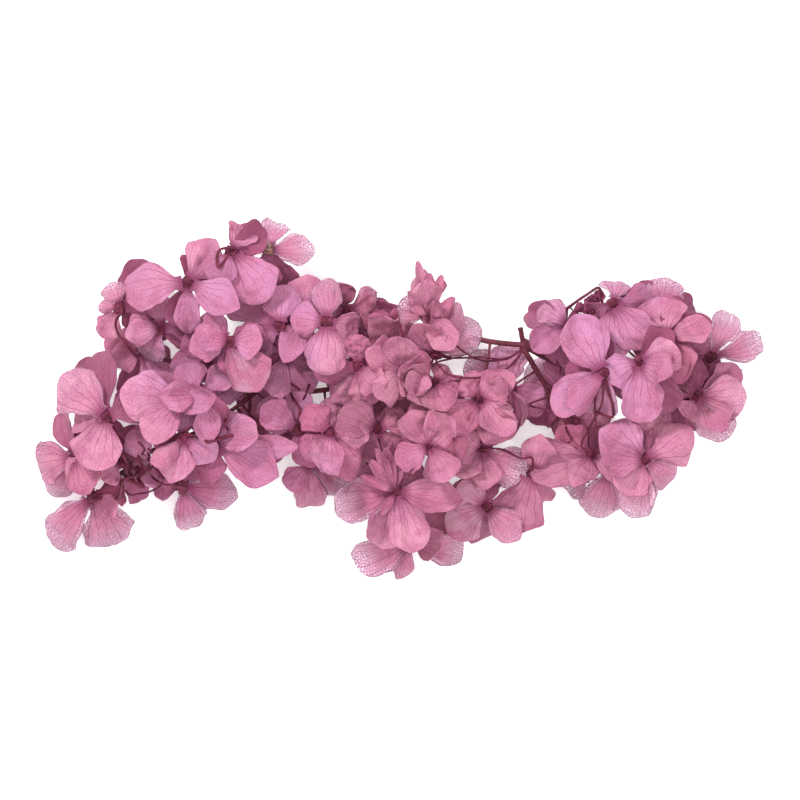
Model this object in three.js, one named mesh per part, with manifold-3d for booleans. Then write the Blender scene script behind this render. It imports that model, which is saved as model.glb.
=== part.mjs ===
// A cut spray of a hydrangea head, dried and dyed, lying on its side on a flat surface.
// Every floret is a few broad sepals round a small hub. Its thin stalk runs to the forking stems.
// Millimetres, +Z up. The origin is on the surface, under the middle of the spray.
import * as THREE from "three";
import { mergeVertices } from "three/addons/utils/BufferGeometryUtils.js";
import Module from "manifold-3d";

const wasm = await Module();
wasm.setup();
const { degToRad } = THREE.MathUtils;

// Driving sizes
const BLADE = 0.6;
const GAP = 0.3;
const HUB_RADIUS = 1.5;
const HUB_BACK = 1.5;
const HUB_FACE = 1.2;
const HUB_LAYER = 0.45;
const CLAW_ANGLE = 28;
const CLAW_ROOM = 0.42;
const STALK_RADIUS = 0.45;
const LOW_LIMIT = 16;
const STALK_SIDES = 4;
const STALK_STEPS = 3;
const STALK_ROOM_STEPS = 4;
const STEM_SIDES = 5;
const STEM_STEP = 9;
const MERGE_WITHIN = 1e-4;
const SLIVER = 0.03;
const SHORT_EDGE = 0.2;
const TURN_GAIN = 1.5;
const CLEANUP_ROUNDS = 300;
const MIDDLE = new THREE.Vector3(0.225, 0.06, 0);

// Form of a sepal, as shares of its length or width, and its leanings in radians
const BLUNT = 0.6;
const SHOULDER = 1.15;
const NATURAL_HALF = 0.42;
const FOLD_SHARE = 0.55;
const FOLD_UP = 0.75;
const CUP = 0.1;
const ARCH = 0.05;
const ROLL = 0.3;
const TWIST = 0.35;
const LEVEL_ROOT = 0.24;

// Rows of points across a sepal: share of its length, then shares of its half width
const ROWS = [
  [0, [-1, 1]],
  [LEVEL_ROOT, [-1, 0, 1]],
  [0.56, [-1, 0, 1]],
  [0.86, [-1, 1]],
  [1, [0]],
];

// Stems: thickness, then the points that each one runs through
const STEMS = [
  [3.2, [
    [37, 17, 19], [42.5, 14.5, 18], [48.5, 11.5, 16],
    [60.5, 11.5, 15], [74, 8.5, 15], [87.5, 4.5, 14],
  ]],
  [1.5, [[36.5, 21.5, 21.5], [37.5, 16.7, 19.2]]],
  [1.6, [[38, 16.5, 19.5], [32, 17, 20], [27.5, 17.5, 20], [21, 18.5, 19], [9.5, 15, 17], [0.5, 9.5, 16]]],
  [1.6, [
    [0.5, 9.5, 16], [-14.5, 4.5, 15], [-29.5, 2.5, 15],
    [-40, 4.5, 16], [-53.5, 7.5, 16], [-78, 14.5, 13],
  ]],
  [1.3, [[-40, 4.5, 16], [-50, -3, 16], [-59.5, -9, 16], [-74.5, -15.5, 14], [-86, -24, 13]]],
  [1.3, [[-34, 3.5, 15.5], [-36, 12, 16], [-37, 21, 17], [-41, 34, 16]]],
  [1.3, [[-53.5, 7.5, 16], [-58, 15, 17], [-61, 23, 17], [-66, 32, 16]]],
  [1.3, [[0.5, 9.5, 16], [1.5, 0, 17], [0.5, -9, 16], [-0.5, -24, 14], [3, -36, 11]]],
  [1.3, [[0.5, -9, 16], [12, -13, 16], [24.5, -18, 14], [38, -21, 12]]],
  [1.6, [
    [37, 16.5, 19.5], [41, 9.5, 18], [44, 4.5, 17], [46, 0, 16],
    [53, -9, 15], [63.5, -15, 16], [74, -17.5, 15],
  ]],
  [1.3, [[60.5, 11.5, 15], [66, 17, 16], [72, 21.5, 16], [79, 24, 14]]],
  [0.9, [[66, 17, 16], [62, 22, 24], [61, 29, 27], [60, 33.5, 28], [57, 32, 28], [50.5, 27.5, 25]]],
];

// Florets: the middle, then each sepal as direction in degrees, reach in the plan, rise of its tip, width
const FLORETS = [
  [[-63, 35, 33], [
    [-170, 18.5, -3, 12.5], [57, 15.5, -3, 12],
    [-26, 17.5, 1, 11], [-80, 15, -7, 7],
  ]],
  [[-50, 44.5, 34], [[-55, 18.5, 2, 16], [60, 9, -8, 9], [-115, 12, -9, 9]]],
  [[-39, 45, 24], [
    [164, 13, 3, 9.5], [2, 14, -5, 8.5], [-42, 13, -9, 10],
    [56, 8.5, -7, 8], [-95, 11, -9, 10],
  ]],
  [[-28.5, 24.5, 24], [[85, 13, -5, 11], [145, 14, -3, 12], [-20, 11, -6, 10], [-110, 13, -5, 11]]],
  [[-21.5, 23.5, 33], [
    [85, 13.5, -1, 8.5], [-88, 16.5, 2, 13],
    [-25, 12, -8, 10], [175, 11, -8, 10],
  ]],
  [[-16, 26.5, 19], [[-5, 20, -6, 12], [24, 13, -5, 9], [-44, 12, -3, 9], [110, 8, -6, 8]]],
  [[-12, 10, 30], [
    [-174, 13.5, 3, 9], [-127, 13.5, -7, 9], [27, 11, -6, 9],
    [-76, 12, -9, 9], [95, 11, -7, 9],
  ]],
  [[-34, 13, 22], [
    [115, 11.5, 5, 8], [60, 12, 4, 7], [-55, 14, -5, 11],
    [-162, 11, -6, 9], [-5, 12, -6, 9],
  ]],
  [[-35.5, 22, 30], [[83, 12.5, -3, 11], [44, 11.5, 3, 6], [-140, 11, -8, 9], [175, 15, -7, 11]]],
  [[-50.5, 17.5, 38], [
    [-59, 17.5, 1, 14.5], [-3, 10, -4, 10],
    [135, 11, -7, 10], [-170, 12, -9, 9],
  ]],
  [[-57.5, 11.5, 26], [
    [81, 14, 3, 8], [121, 11, 0, 8], [-170, 12, -5, 8],
    [-64, 12, -8, 9], [-118, 11, -7, 9], [20, 10, -6, 9],
  ]],
  [[-83.5, 28, 18], [
    [57, 16, -8, 10], [-119, 11, -5, 7], [-175, 6.5, 1, 3.5],
    [113, 8, -4, 8], [5, 14, -7, 10],
  ]],
  [[-71.5, 21.5, 23], [[-176, 10, -3, 9], [-114, 10, -9, 9], [4, 13, -4, 9], [86, 10, -5, 9]]],
  [[-77.5, 14.5, 9], [[163, 12, -6, 10], [-25, 10, -8, 8], [70, 11, -6, 10], [-100, 15, -9, 11]]],
  [[-87.5, -5, 30], [
    [138, 18.5, -3, 14.5], [113, 19, -8, 11], [-109, 16.5, 1, 14.5],
    [-160, 12, -9, 9], [20, 14, -8, 12],
  ]],
  [[-65, 0, 34], [[173, 18.5, -1, 15], [14, 11, -3, 9], [-129, 16, -8, 11], [60, 11, -6, 9]]],
  [[-59, 1.5, 37], [[-82, 14, -2, 7.5], [46, 9.5, -9, 8], [140, 11, -9, 9]]],
  [[-92, -29, 14], [
    [-130, 20, -13, 12.5], [-68, 17, -14, 15.5],
    [122, 13.5, -5, 9.5], [23, 10, -5, 8],
  ]],
  [[-97, -17, 19], [
    [-169, 12.5, -8, 12.5], [-120, 14.5, -14, 10],
    [110, 14, -6, 6], [-30, 12, -8, 10],
  ]],
  [[-83, -18.5, 17], [[43, 11.5, -5, 9], [-135, 8, 4, 7], [-12, 12, -6, 8], [-42, 13, -5, 7]]],
  [[-65, -26, 11], [
    [-79, 12.5, -10, 9], [-12, 17, -11, 11], [-175, 9, -6, 6],
    [40, 13, -4, 10], [100, 11, -5, 9],
  ]],
  [[-55, -13, 29], [[-27, 21.5, -1, 14], [5, 25.5, 3, 6], [52, 11, -6, 8], [120, 10, -7, 9]]],
  [[-64, -11, 34], [
    [-107, 14.5, 1, 10.5], [-137, 12.5, -4, 6],
    [-61, 15, -7, 11], [100, 10, -7, 9],
  ]],
  [[-41, -8.5, 14], [[162, 9.5, -3, 9], [12, 12, -4, 9], [90, 12, -5, 10], [-70, 12, -5, 9]]],
  [[-27, -19, 12], [[-88, 15, -11, 9.5], [-130, 10, -9, 8], [-24, 14, -8, 10]]],
  [[-20.5, -10, 31], [
    [134, 11.5, -1, 9.5], [81, 11.5, -1, 9], [-137, 11, -3, 9.5],
    [-71, 16, -4, 13], [10, 12, -7, 10],
  ]],
  [[-30.5, -8.5, 24], [[156, 11, 2, 8], [86, 11, -3, 9], [20, 10, -6, 8]]],
  [[9, 24.5, 28], [[100, 16.5, -2, 6], [76, 13.5, -4, 5.5], [-102, 10, -5, 8], [160, 10, -4, 8]]],
  [[11, 14, 25], [[73, 16.5, -1, 9], [33, 16, -8, 11], [123, 13.5, -2, 9], [175, 12, -5, 8]]],
  [[-4, 14.5, 23], [[111, 12, -3, 8], [-93, 15.5, 1, 7], [60, 12, -4, 8], [165, 12, -6, 9]]],
  [[2, 8.5, 31], [[130, 9.5, -2, 8], [34, 8.5, -2, 7.5], [-53, 9.5, -3, 8], [-128, 9.5, -3, 8]]],
  [[10.5, 5, 30], [[-117, 14.5, -1, 5.5], [-17, 10, -3, 9.5], [57, 8, -8, 6.5], [-58, 13, -5, 9]]],
  [[-11, 3.5, 19], [[140, 12, -5, 10], [-123, 12, -5, 10], [-30, 13, -5, 10], [50, 11, -5, 9]]],
  [[24.5, 0, 30], [[-137, 15.5, 4, 12.5], [27, 10, -4, 10], [118, 9, -4, 9], [-50, 15, -7, 12]]],
  [[9, -14, 35], [[-153, 10.5, 0, 9.5], [-60, 11, -2, 10], [6, 12, 0, 9], [144, 9.5, -1, 8.5]]],
  [[25, -15, 24], [[65, 19, 3, 14], [-29, 14.5, -7, 12], [140, 11, -3, 9], [-80, 11.5, -7, 10]]],
  [[40, -22, 20], [[-112, 20, -2, 16], [-65, 9, -10, 6], [178, 10, -8, 10], [78, 12, -4, 10]]],
  [[-1, -27.5, 28], [
    [-166, 18.5, -9, 12.5], [-6, 20.5, 2, 10.5],
    [-55, 19, 0, 12.5], [-122, 17, -6, 13],
  ]],
  [[-4, -20.5, 22], [[121, 11, -4, 10], [50, 12, -3, 9], [177, 11, -8, 10], [0, 13, -5, 10]]],
  [[4, -43, 9], [
    [-163, 18, -8, 11.5], [-113, 12, -8, 6], [-10, 15.5, -8, 9],
    [28, 15, -4, 10], [130, 12, -4, 9],
  ]],
  [[26.5, -32, 19], [
    [136, 11, 3, 10], [-168, 14.5, 0, 12], [-112, 12, -8, 11],
    [-45, 14, -8, 11], [95, 12, -3, 10],
  ]],
  [[-6.5, -8.5, 26], [[144, 12.5, 0, 10], [23, 10, 0, 9], [-120, 12, -4, 10], [-50, 12, -5, 9]]],
  [[33, 3.5, 14], [[92, 13.5, 2, 12.5], [141, 15.5, -7, 9], [-27, 13, -5, 11], [-100, 13, -6, 11]]],
  [[48.5, 3.5, 11], [[144, 12, -4, 11], [90, 11, -4, 8], [-135, 13, -5, 11], [-80, 14, -5, 10]]],
  [[50.5, 22, 22], [[118, 10, -2, 8], [159, 12, -5, 8], [-162, 12.5, -7, 9], [-102, 12, -3, 10]]],
  [[61, 8, 38], [[117, 19.5, 1, 15.5], [-144, 18, -2, 12], [-87, 12, -6, 10]]],
  [[64, 29, 33], [
    [-48, 18, 1, 12], [-85, 17, 2, 10.5], [75, 7, -10, 9],
    [-150, 6, -10, 6], [0, 13, -5, 11],
  ]],
  [[79.5, 18.5, 33], [
    [98, 12.5, -1, 13.5], [14, 14.5, -1, 8.5],
    [-66, 14.5, 0, 13.5], [-152, 9, -7, 9.5],
  ]],
  [[78.5, 26.5, 17], [[77, 11, -6, 11.5], [139, 10, -10, 9], [12, 11, -14, 6], [-40, 13, -5, 10]]],
  [[94, 13, 19], [[17, 16, -10, 8], [66, 14.5, -12, 8.5], [112, 10, -1, 8], [-60, 12, -6, 10]]],
  [[89.5, 1, 28], [
    [-1, 14.5, -1, 13], [34, 15.5, -7, 9], [-55, 15.5, -9, 12],
    [-120, 7, -8, 7], [150, 10, -6, 9],
  ]],
  [[72, 11.5, 40], [[-88, 18, -2, 13], [-55, 18, -5, 10.5], [-157, 12, -4, 10], [-115, 13, -9, 9]]],
  [[73.5, -18, 33], [
    [145, 16.5, 2, 14.5], [35, 17.5, -3, 13], [-30, 10, -8, 8.5],
    [-80, 18, -6, 12.5], [-138, 12, -9, 10],
  ]],
  [[63.5, -21, 18], [[-107, 15, -12, 12], [-60, 12.5, -6, 11], [70, 9, -5, 9], [160, 10, -5, 9]]],
  [[58, -17, 20], [[-170, 18, -1, 14.5], [-125, 12, -12, 10], [138, 13, -6, 10], [60, 10, -6, 9]]],
  [[54, -9, 9], [[165, 8, -3, 9], [-96, 8, -8, 9], [-18, 9, -4, 9], [80, 12, -3, 10]]],
  [[82, 0.5, 22], [[-85, 13.5, 1, 10.5], [157, 9.5, -5, 9], [-135, 14, -7, 11], [20, 10, -5, 9]]],
  [[88, 2, 9], [[70, 13, -12, 10], [-20, 12, -12, 10], [-110, 12, -12, 10], [160, 12, -9, 9]]],
  [[-44, 6, 9], [[80, 13, -11, 10], [-10, 13, -12, 11], [-88, 13, -12, 10], [170, 12, -11, 9]]],
];

// Ways to bend a sepal clear of its neighbours, from the least change to the largest
const BENDS = [];
for (const size of [1, 0.88, 0.76, 0.64]) {
  for (const turn of [0, 8, -8, 16, -16, 24, -24]) {
    for (const lift of [0, -2, 2, -4, 4, -6, 6, -8, 8, -10, 10, -12, 12]) {
      const cost = Math.abs(lift) / 2 + Math.abs(turn) / 6 + (1 - size) * 25;
      BENDS.push({ size, turn, lift, cost });
    }
  }
}
BENDS.sort((a, b) => a.cost - b.cost);
const SHIFTS = [0, -1.5, 1.5, -3, 3, -4.5, 4.5, -6, 6];

// Ways to lead a stalk past what is there: the places that it may leave a stem from, and its sways
const ANCHORS_A_STEP = 3;
const ANCHOR_COUNT = 18;
const STALK_DIP = 0.45;
const STALK_LEAVES = 0.3;
const SWAYS = [[0, 0], [3, 0], [-3, 0], [0, 3], [0, -3], [5, 5], [-5, -5], [5, -5], [-5, 5]];

// A repeatable draw between 0 and 1, and one to either side of zero
function draw(seed) {
  const value = Math.sin(seed * 12.9898) * 43758.5453;
  return value - Math.floor(value);
}

function drift(seed, most) {
  return (2 * draw(seed) - 1) * most;
}

// Solids from geometry and from bare points and triangles, and back
function solidFrom(coordinates, corners) {
  const vertProperties = new Float32Array(coordinates);
  const triVerts = new Uint32Array(corners);
  return new wasm.Manifold(new wasm.Mesh({ numProp: 3, vertProperties, triVerts }));
}

function solidOf(points, triangles) {
  return solidFrom(points.flatMap((point) => point.toArray()), triangles.flat());
}

function toSolid(geometry) {
  geometry.deleteAttribute("normal");
  geometry.deleteAttribute("uv");
  const merged = mergeVertices(geometry, MERGE_WITHIN);
  return solidFrom(merged.attributes.position.array, merged.index.array);
}

function toGeometry(solid) {
  const mesh = solid.getMesh();
  const geometry = new THREE.BufferGeometry();
  geometry.setAttribute("position", new THREE.BufferAttribute(mesh.vertProperties, 3));
  geometry.setIndex(new THREE.BufferAttribute(mesh.triVerts, 1));
  geometry.computeVertexNormals();
  return geometry;
}

// A solid whose triangles are all wider than a sliver: a short edge is closed up, a long one turned
function withoutSlivers(solid) {
  const mesh = solid.getMesh();
  const points = [];
  for (let i = 0; i < mesh.vertProperties.length; i += 3) {
    points.push(new THREE.Vector3().fromArray(mesh.vertProperties, i));
  }
  let triangles = [];
  for (let i = 0; i < mesh.triVerts.length; i += 3) triangles.push([...mesh.triVerts.slice(i, i + 3)]);
  const widths = new Map(triangles.map((triangle) => [triangle, widthOf(triangle, points)]));
  for (let round = 0; round < CLEANUP_ROUNDS; round += 1) {
    const slivers = triangles.filter((triangle) => widths.get(triangle) < SLIVER);
    const mended = slivers.reduce(
      (found, sliver) => found || closedUp(sliver, triangles, points) || turned(sliver, triangles, points),
      null,
    );
    if (!mended) break;
    triangles = mended;
    triangles.forEach((triangle) => widths.set(triangle, widthOf(triangle, points)));
  }
  return solidOf(points, triangles);
}

// The edges of a triangle, each with the corner across from it, from the shortest to the longest
function edgesOf([a, b, c], points) {
  const edges = [[a, b, c], [b, c, a], [c, a, b]];
  const lengthOf = ([from, to]) => points[from].distanceTo(points[to]);
  return edges.sort((one, other) => lengthOf(one) - lengthOf(other));
}

function widthOf(triangle, points) {
  const [a, b, c] = triangle.map((corner) => points[corner]);
  const [from, to] = edgesOf(triangle, points)[2];
  return b.clone().sub(a).cross(c.clone().sub(a)).length() / points[from].distanceTo(points[to]);
}

function closedUp(triangle, triangles, points) {
  const [a, b] = edgesOf(triangle, points)[0];
  if (points[a].distanceTo(points[b]) > SHORT_EDGE) return null;
  const round = (corner) => new Set(triangles.filter((each) => each.includes(corner)).flat());
  const shared = [...round(a)].filter((corner) => round(b).has(corner));
  if (shared.length !== 4) return null;
  points[a].lerp(points[b], 0.5);
  const kept = triangles.filter((each) => !(each.includes(a) && each.includes(b)));
  return kept.map((each) => (each.includes(b) ? each.map((corner) => (corner === b ? a : corner)) : each));
}

function turned(triangle, triangles, points) {
  const [a, b, c] = edgesOf(triangle, points)[2];
  const beyond = triangles.find((each) => each !== triangle && each.includes(a) && each.includes(b));
  const d = beyond.find((corner) => corner !== a && corner !== b);
  if (triangles.some((each) => each.includes(c) && each.includes(d))) return null;
  const swapped = [[a, d, c], [d, b, c]];
  const least = widthOf(triangle, points) * TURN_GAIN;
  if (swapped.some((each) => widthOf(each, points) <= least)) return null;
  return [...triangles.filter((each) => each !== triangle && each !== beyond), ...swapped];
}

// The sepals of a floret in order round its hub, each with the room that its claw has there
function sepalsOf(rows, number) {
  const sorted = rows.map((row, rank) => [...row, rank]).sort((a, b) => a[0] - b[0]);
  const apartBy = (from, to) => (to - from + 360) % 360 || 360;
  return sorted.map(([direction, reach, rise, width, rank], i) => {
    const before = sorted[(i + sorted.length - 1) % sorted.length][0];
    const after = sorted[(i + 1) % sorted.length][0];
    const room = Math.min(apartBy(before, direction), apartBy(direction, after));
    const claw = HUB_RADIUS * Math.sin(degToRad(Math.min(CLAW_ANGLE, CLAW_ROOM * room)));
    const layer = i % 2 ? -HUB_LAYER : HUB_LAYER;
    return { direction, reach, rise, width, rank, claw, layer, seed: number * 10 + i };
  });
}

// The middle surface of a sepal: a point at a share of its length and a share of its half width
function sepalSurface(middle, sepal, bend) {
  const { direction, reach, rise, width, claw, layer, seed } = sepal;
  const heading = degToRad(direction);
  const root = middle.clone();
  root.add(new THREE.Vector3(Math.cos(heading) * HUB_RADIUS, Math.sin(heading) * HUB_RADIUS, layer));
  const turned = degToRad(direction + bend.turn);
  const flat = reach * bend.size;
  const tip = middle.clone();
  tip.add(new THREE.Vector3(Math.cos(turned) * flat, Math.sin(turned) * flat, rise + bend.lift));
  const chord = tip.sub(root);
  const length = chord.length();
  const along = chord.normalize();
  const side = new THREE.Vector3(0, 0, 1).cross(along).normalize();
  const roll = drift(seed, ROLL);
  const twist = drift(seed + 0.7, TWIST);
  const half = width * bend.size / 2;
  const natural = NATURAL_HALF * length;
  const foldSide = draw(seed + 0.3) < FOLD_UP ? 1 : -1;
  const drawnIn = Math.sqrt(Math.max(0, natural * natural - half * half));
  const fold = foldSide * (CUP * half + FOLD_SHARE * drawnIn);
  const arch = (ARCH + drift(seed + 0.5, ARCH)) * length;
  return (t, v) => {
    const share = Math.pow(Math.sin(Math.PI * Math.pow(t, SHOULDER)), BLUNT);
    const across = Math.max(half * share, claw * (1 - t)) * v;
    const lean = (roll + twist * (t - 0.5)) * Math.min(1, t / LEVEL_ROOT);
    const leaned = side.clone().applyAxisAngle(along, lean);
    const up = along.clone().cross(leaned);
    const height = arch * 4 * t * (1 - t) + fold * share * Math.abs(v);
    const spine = root.clone().addScaledVector(along, length * t);
    return spine.addScaledVector(leaned, across).addScaledVector(up, height);
  };
}

// Triangles of a sepal's upper side, and its point numbers in order round the rim from the root
const STARTS = ROWS.map((row, i) => ROWS.slice(0, i).reduce((sum, [, places]) => sum + places.length, 0));
const COUNT = ROWS.reduce((sum, [, places]) => sum + places.length, 0);
const UPPER = [];
ROWS.slice(0, -1).forEach(([, low], row) => {
  const high = ROWS[row + 1][1];
  let i = 0;
  let j = 0;
  while (i + 1 < low.length || j + 1 < high.length) {
    const a = STARTS[row] + i;
    const b = STARTS[row + 1] + j;
    if (j + 1 >= high.length || (i + 1 < low.length && i <= j)) {
      UPPER.push([a, b, a + 1]);
      i += 1;
    } else {
      UPPER.push([a, b, b + 1]);
      j += 1;
    }
  }
});
const ENDS = ROWS.slice(0, -1).map(([, places], row) => STARTS[row] + places.length - 1);
const RIM = [...STARTS, ...ENDS.reverse()];

// Upper and lower points of a blade. Where it would pass below the surface it lies flat along it
function bladePoints(surface, thickness) {
  const points = ROWS.flatMap(([t, places]) => places.map((v) => surface(t, v)));
  const resting = points.map((point) => point.z < BLADE / 2);
  points.forEach((point) => point.setZ(Math.max(point.z, BLADE / 2)));
  const normals = points.map(() => new THREE.Vector3());
  for (const [a, b, c] of UPPER) {
    const normal = points[b].clone().sub(points[a]).cross(points[c].clone().sub(points[a]));
    for (const corner of [a, b, c]) normals[corner].add(normal);
  }
  normals.forEach((normal, i) => (resting[i] ? normal.set(0, 0, 1) : normal.normalize()));
  const upper = points.map((point, i) => point.clone().addScaledVector(normals[i], thickness / 2));
  const lower = points.map((point, i) => point.clone().addScaledVector(normals[i], -thickness / 2));
  return [...upper, ...lower];
}

// Triangles of a blade whose points start at a number, with its root open or closed
function bladeTriangles(first, closed) {
  const upper = UPPER.map((corners) => corners.map((corner) => first + corner));
  const lower = UPPER.map(([a, b, c]) => [first + COUNT + a, first + COUNT + c, first + COUNT + b]);
  const edges = closed ? RIM.length : RIM.length - 1;
  const rim = [];
  for (let i = 0; i < edges; i += 1) {
    rim.push(...wall(first + RIM[i], first + RIM[(i + 1) % RIM.length], COUNT));
  }
  return [...upper, ...lower, ...rim];
}

// Two triangles between an upper edge and the edge below it, whose numbers are higher by a step
function wall(a, b, step) {
  return [[a + step, b + step, b], [a + step, b, a]];
}

function bladeSolid(surface, thickness) {
  return solidOf(bladePoints(surface, thickness), bladeTriangles(0, true));
}

// A floret as one closed skin: its blades, and a hub of two low points that their open roots join
function floretSolid(floret) {
  const points = [];
  const triangles = [];
  const roots = [];
  for (const surface of floret.surfaces.filter(Boolean)) {
    roots.push([points.length, points.length + ROWS[0][1].length - 1]);
    triangles.push(...bladeTriangles(points.length, false));
    points.push(...bladePoints(surface, BLADE));
  }
  const top = points.push(floret.middle.clone().setZ(floret.middle.z + floret.above)) - 1;
  const bottom = points.push(floret.middle.clone().setZ(floret.middle.z - floret.below)) - 1;
  roots.forEach(([start, end], i) => {
    const next = roots[(i + 1) % roots.length][0];
    triangles.push([top, start, end], [top, end, next]);
    triangles.push([bottom, end + COUNT, start + COUNT], [bottom, next + COUNT, end + COUNT]);
    triangles.push([end + COUNT, next + COUNT, next], [end + COUNT, next, end]);
  });
  return solidOf(points, triangles);
}

// A round bar along a curve
function barSolid(curve, radius, sides, steps) {
  const corners = [];
  for (let i = 0; i < sides; i += 1) {
    const angle = (i / sides) * Math.PI * 2;
    corners.push(new THREE.Vector2(Math.cos(angle) * radius, Math.sin(angle) * radius));
  }
  const settings = { steps, extrudePath: curve, bevelEnabled: false };
  return toSolid(new THREE.ExtrudeGeometry(new THREE.Shape(corners), settings));
}

// What has its place already, and whether a solid is clear of all of it but its own
const placed = [];

function place(solid, owner) {
  placed.push({ solid, owner, box: solid.boundingBox() });
}

function touches(a, b) {
  const common = a.intersect(b);
  const empty = common.isEmpty();
  common.delete();
  return !empty;
}

function boxesApart(a, b) {
  return [0, 1, 2].some((axis) => a.max[axis] < b.min[axis] || b.max[axis] < a.min[axis]);
}

function isClear(solid, owner) {
  const box = solid.boundingBox();
  const others = placed.filter((other) => other.owner !== owner && !boxesApart(box, other.box));
  return others.every((other) => !touches(solid, other.solid));
}

// Stems, and the places along them where a stalk may leave
const stemSolids = [];
let anchors = [];
for (const [thickness, points] of STEMS) {
  const route = points.map((point) => new THREE.Vector3(...point));
  const curve = new THREE.CatmullRomCurve3(route, false, "centripetal");
  const steps = Math.max(2, Math.round(curve.getLength() / STEM_STEP));
  const solid = barSolid(curve, thickness / 2, STEM_SIDES, steps);
  stemSolids.push(solid);
  place(solid, "stem");
  const corners = curve.getSpacedPoints(steps);
  corners.slice(1).forEach((corner, i) => {
    for (let k = 1; k <= ANCHORS_A_STEP; k += 1) {
      anchors.push(corners[i].clone().lerp(corner, k / ANCHORS_A_STEP));
    }
  });
}

// A stalk runs from a stem to the back of its floret: from below, or from above on a low one
function stalkCurve(anchor, end, up, sway) {
  const distance = anchor.distanceTo(end);
  const near = end.clone().add(new THREE.Vector3(sway[0] / 2, sway[1] / 2, up * STALK_DIP * distance));
  const far = anchor.clone().lerp(end, STALK_LEAVES).add(new THREE.Vector3(sway[0], sway[1], 0));
  return new THREE.CubicBezierCurve3(anchor, far, near, end);
}

function findStalk(floret, middle, hub) {
  const up = floret.low ? 1 : -1;
  const end = middle.clone().setZ(middle.z + up * (HUB_BACK + GAP));
  const nearest = [...anchors].sort((a, b) => a.distanceTo(end) - b.distanceTo(end)).slice(0, ANCHOR_COUNT);
  for (const sway of SWAYS) {
    for (const anchor of nearest) {
      const curve = stalkCurve(anchor, end, up, sway);
      const wide = barSolid(curve, STALK_RADIUS + GAP, STALK_SIDES, STALK_ROOM_STEPS);
      const clear = isClear(wide, "stem") && !touches(wide, hub);
      wide.delete();
      if (clear) return { anchor, solid: barSolid(curve, STALK_RADIUS, STALK_SIDES, STALK_STEPS) };
    }
  }
  return null;
}

// The room that a hub takes up
function hubSolid(middle) {
  const room = new THREE.OctahedronGeometry(HUB_RADIUS, 0);
  room.translate(middle.x, middle.y, middle.z);
  return toSolid(room);
}

function placeFloret(floret) {
  for (const shift of SHIFTS) {
    const middle = floret.start.clone();
    middle.z = Math.max(middle.z + shift, HUB_BACK + GAP);
    const hub = hubSolid(middle);
    const stalk = isClear(hub, floret.name) ? findStalk(floret, middle, hub) : null;
    if (!stalk) continue;
    floret.middle = middle;
    anchors = anchors.filter((anchor) => anchor !== stalk.anchor);
    stemSolids.push(stalk.solid);
    place(stalk.solid, "stem");
    place(hub, floret.name);
    return;
  }
}

// A sepal takes the least bend that keeps it clear of its neighbours and of the floret's other sepals
function placeSepal(floret, sepal) {
  if (!sepal || !floret.middle) return;
  for (const bend of BENDS) {
    const surface = sepalSurface(floret.middle, sepal, bend);
    const wide = bladeSolid(surface, BLADE + 2 * GAP);
    const solid = bladeSolid(surface, BLADE);
    if (isClear(wide, floret.name) && !floret.solids.some((other) => touches(solid, other))) {
      place(solid, floret.name);
      floret.solids.push(solid);
      floret.surfaces[floret.sepals.indexOf(sepal)] = surface;
      return;
    }
    wide.delete();
    solid.delete();
  }
}

// The uppermost florets find their places first, and their most visible sepals before the rest
const florets = FLORETS.map(([middle, rows], i) => {
  const low = middle[2] < LOW_LIMIT;
  return {
    name: `floret_${String(i + 1).padStart(2, "0")}`,
    start: new THREE.Vector3(...middle),
    low,
    above: low ? HUB_BACK : HUB_FACE,
    below: low ? HUB_FACE : HUB_BACK,
    sepals: sepalsOf(rows, i + 1),
    solids: [],
    surfaces: [],
  };
});
const downward = [...florets].sort((a, b) => b.start.z - a.start.z);
for (let rank = 0; rank < Math.max(...FLORETS.map(([, rows]) => rows.length)); rank += 1) {
  for (const floret of downward) {
    if (rank === 0) placeFloret(floret);
    placeSepal(floret, floret.sepals.find((sepal) => sepal.rank === rank));
  }
}

// The spray, one mesh for each floret and one for all the stems and stalks
const sepalPink = new THREE.MeshStandardMaterial({ color: 0xcf6f9c, roughness: 0.75, metalness: 0 });
const stemMaroon = new THREE.MeshStandardMaterial({ color: 0x5c1a2c, roughness: 0.7, metalness: 0 });
const spray = new THREE.Group();
spray.position.copy(MIDDLE).negate();
for (const floret of florets) {
  const mesh = new THREE.Mesh(toGeometry(floretSolid(floret)), sepalPink);
  mesh.name = floret.name;
  spray.add(mesh);
}
const stems = withoutSlivers(wasm.Manifold.union(stemSolids));
const stem = new THREE.Mesh(toGeometry(stems), stemMaroon);
stem.name = "stem";
spray.add(stem);

export default spray;
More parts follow.
